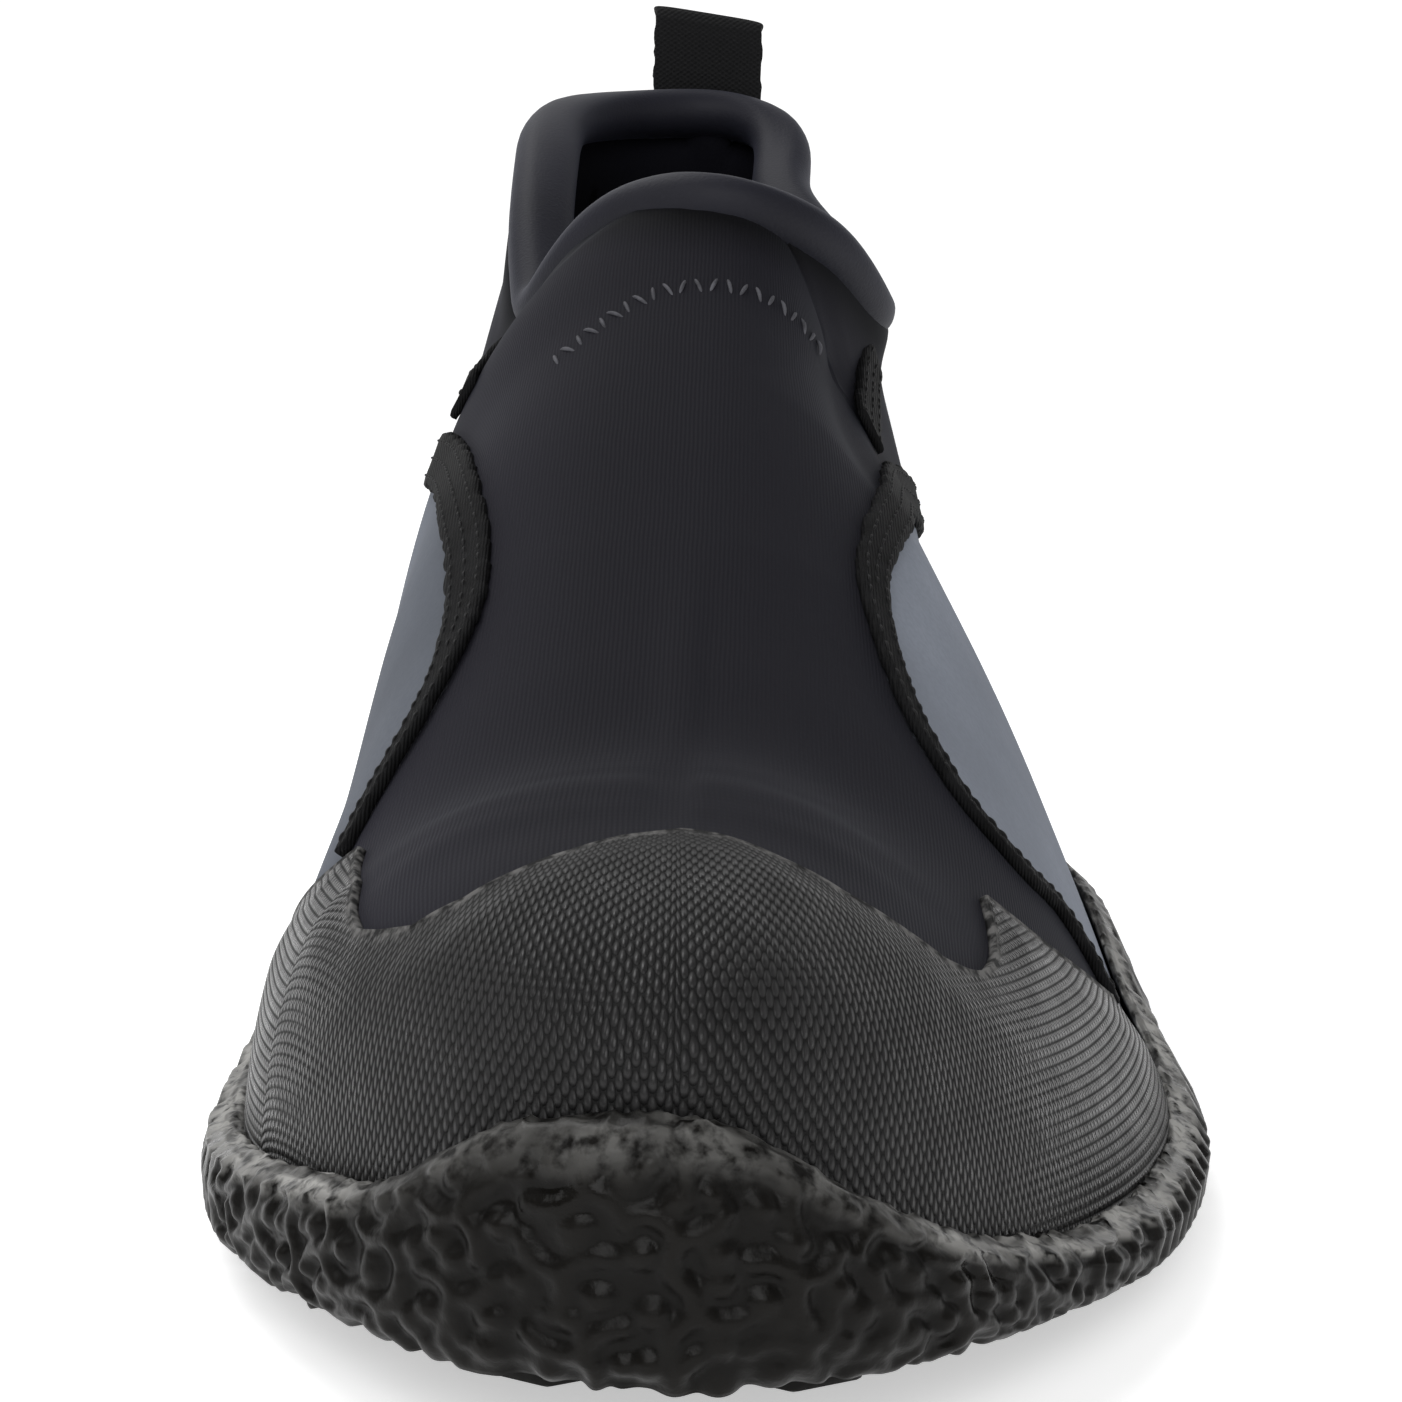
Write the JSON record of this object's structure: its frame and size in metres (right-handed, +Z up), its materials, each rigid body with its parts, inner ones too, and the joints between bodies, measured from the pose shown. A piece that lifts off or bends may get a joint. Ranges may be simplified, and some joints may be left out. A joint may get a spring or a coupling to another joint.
{
  "type": "reef boot",
  "caption": "Low neoprene slip-on reef boot for the left foot, with ribbed rubber outsole, rubber toe cap, rolled collar, seam tapes and heel pull loop.",
  "frame": {"origin": "on the floor under the middle of the boot's outline seen from above", "axes": "+Z up from the floor, -Y towards the toe, +X to the outside of the left foot"},
  "size_m": [0.1044, 0.2718, 0.1395],
  "materials": {
    "neoprene": "matte ribbed black neoprene with blue-grey side panels",
    "rubber": "black moulded rubber with a scuffed rim",
    "foam": "matte dark grey foam",
    "cap_rubber": "matte dark grey rubber with a small lattice relief",
    "cuff": "smooth dark navy neoprene",
    "tape": "matte black stitched tape",
    "webbing": "matte black woven webbing"
  },
  "bodies": {
    "root": {"upper": "neoprene", "outsole": "rubber", "insole": "foam", "toe_cap": "cap_rubber", "collar_cuff": "cuff", "tape_lower_medial": "tape", "tape_lower_lateral": "tape", "tape_upper_medial": "tape", "tape_upper_lateral": "tape", "pull_loop": "webbing"}
  },
  "joints": []
}
